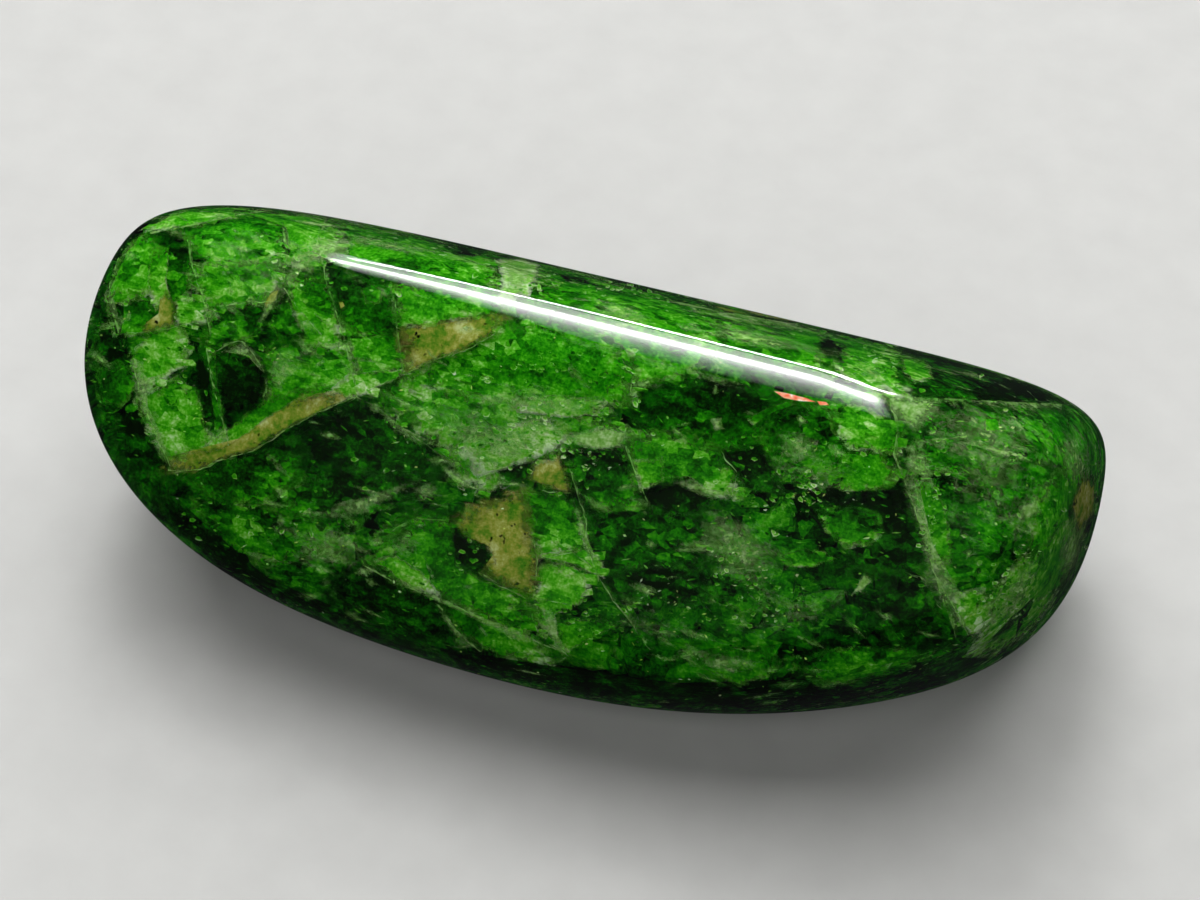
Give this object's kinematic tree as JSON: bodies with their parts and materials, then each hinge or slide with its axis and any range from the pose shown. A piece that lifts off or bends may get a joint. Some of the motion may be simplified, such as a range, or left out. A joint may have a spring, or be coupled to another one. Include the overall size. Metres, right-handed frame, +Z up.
{
  "type": "polished chrome diopside crystal",
  "caption": "Tumble-polished lump of deep green chrome diopside, a rounded wedge with a straight ridge and a bowed front, that lies on a worn flat.",
  "frame": {"origin": "under the middle of the stone, on the surface that its worn base lies on", "axes": "+Z up, +X along the stone's length towards its blunter end, -Y towards its broad polished front"},
  "size_m": [0.0536, 0.0258, 0.0185],
  "materials": {
    "chrome_diopside": "wet polish on a translucent, cleavage-filled green crystal"
  },
  "bodies": {
    "root": {"diopside_crystal": "chrome_diopside"}
  },
  "joints": []
}
